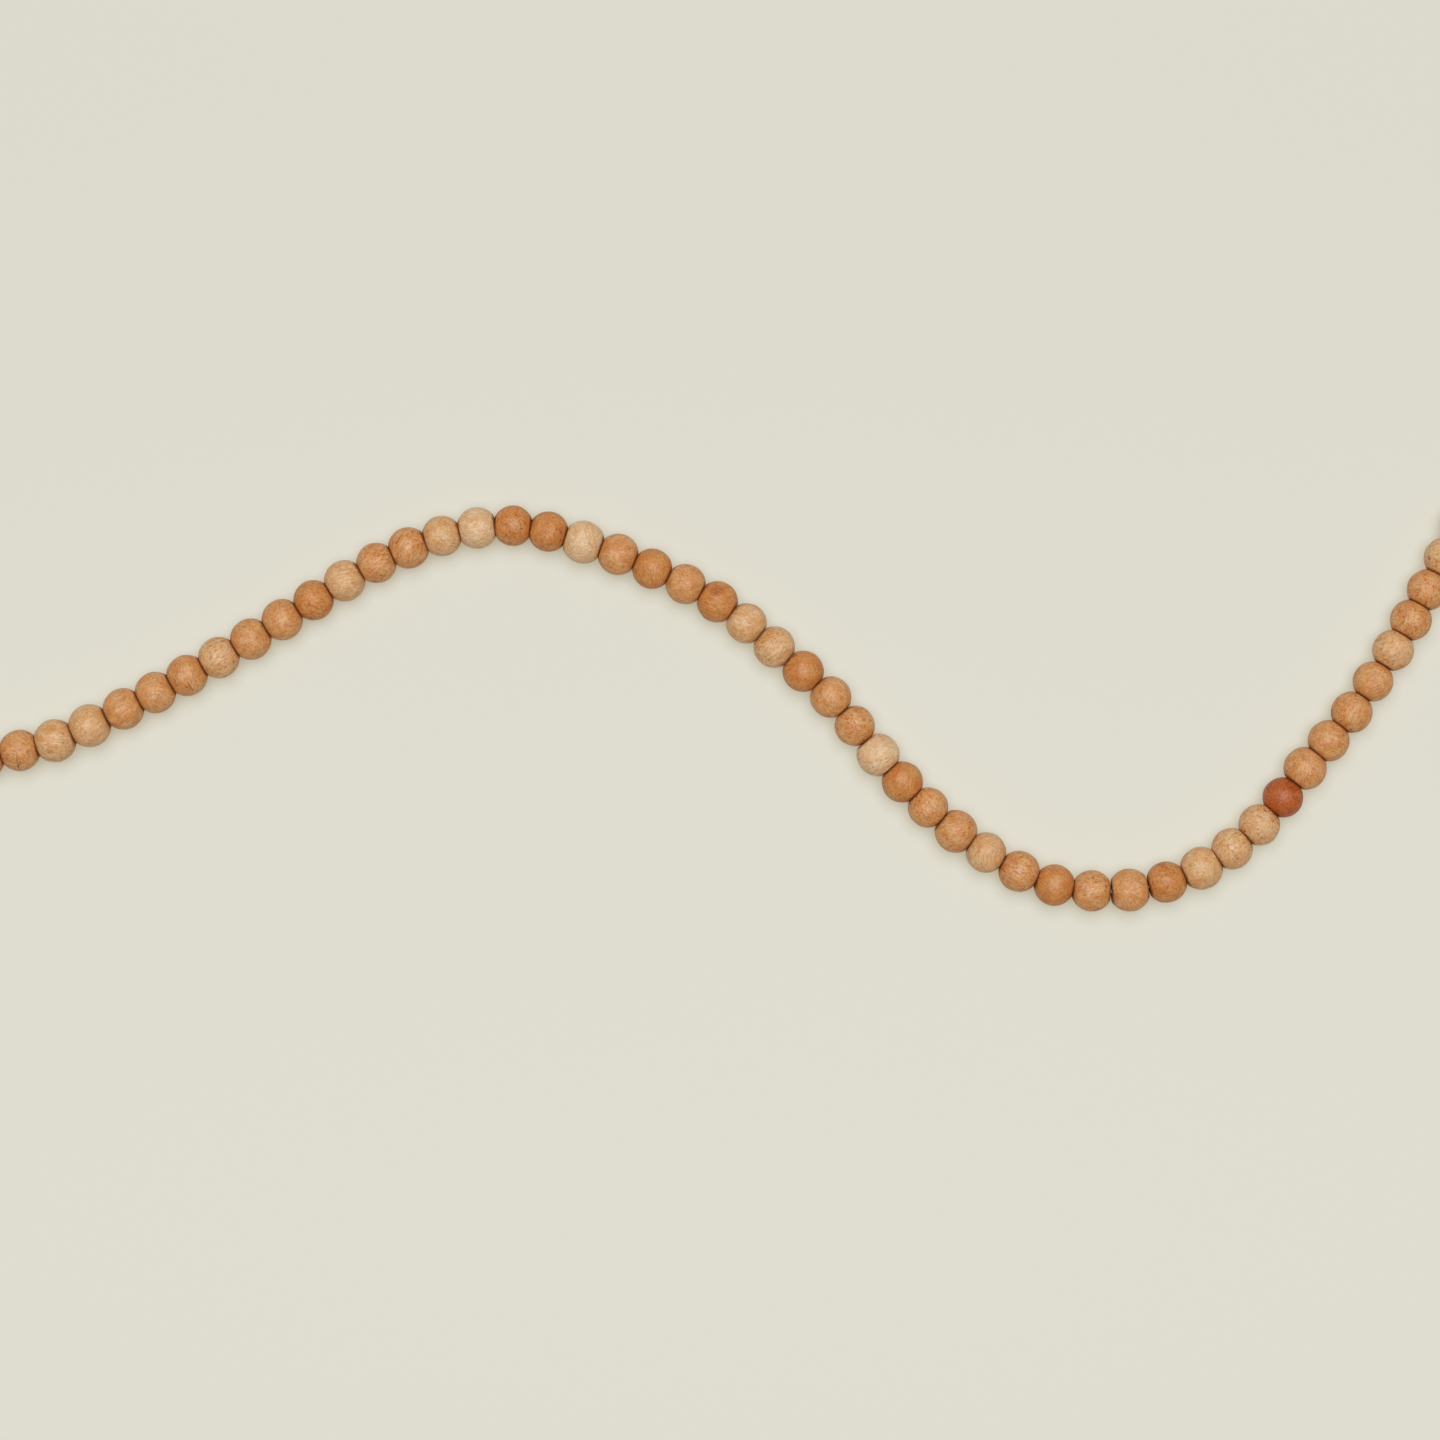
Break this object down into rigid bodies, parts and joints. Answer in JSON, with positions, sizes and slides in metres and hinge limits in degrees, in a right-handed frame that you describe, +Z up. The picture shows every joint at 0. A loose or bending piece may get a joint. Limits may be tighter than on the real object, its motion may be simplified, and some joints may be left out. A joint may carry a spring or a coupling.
{
  "type": "wooden bead garland",
  "caption": "A string of turned wooden beads lying in a long S curve, with a knotted hanging loop of cotton string at each end.",
  "frame": {"origin": "on the surface that the garland lies on, under the middle of its overall box", "axes": "+Z up from the surface, +X along the garland from the left of the picture to its right, +Y towards the top of the picture"},
  "size_m": [0.6332, 0.1848, 0.0166],
  "materials": {
    "bead_wood": "plain turned wood, hand-smooth, no varnish",
    "cotton_string": "twisted undyed cotton"
  },
  "bodies": {
    "root": {"bead_01": "bead_wood", "bead_02": "bead_wood", "bead_03": "bead_wood", "bead_04": "bead_wood", "bead_05": "bead_wood", "bead_06": "bead_wood", "bead_07": "bead_wood", "bead_08": "bead_wood", "bead_09": "bead_wood", "bead_10": "bead_wood", "bead_11": "bead_wood", "bead_12": "bead_wood", "bead_13": "bead_wood", "bead_14": "bead_wood", "bead_15": "bead_wood", "bead_16": "bead_wood", "bead_17": "bead_wood", "bead_18": "bead_wood", "bead_19": "bead_wood", "bead_20": "bead_wood", "bead_21": "bead_wood", "bead_22": "bead_wood", "bead_23": "bead_wood", "bead_24": "bead_wood", "bead_25": "bead_wood", "bead_26": "bead_wood", "bead_27": "bead_wood", "bead_28": "bead_wood", "bead_29": "bead_wood", "bead_30": "bead_wood", "bead_31": "bead_wood", "bead_32": "bead_wood", "bead_33": "bead_wood", "bead_34": "bead_wood", "bead_35": "bead_wood", "bead_36": "bead_wood", "bead_37": "bead_wood", "bead_38": "bead_wood", "bead_39": "bead_wood", "bead_40": "bead_wood", "bead_41": "bead_wood", "bead_42": "bead_wood", "bead_43": "bead_wood", "bead_44": "bead_wood", "bead_45": "bead_wood", "bead_46": "bead_wood", "bead_47": "bead_wood", "bead_48": "bead_wood", "bead_49": "bead_wood", "bead_50": "bead_wood", "bead_51": "bead_wood", "string": "cotton_string"}
  },
  "joints": []
}
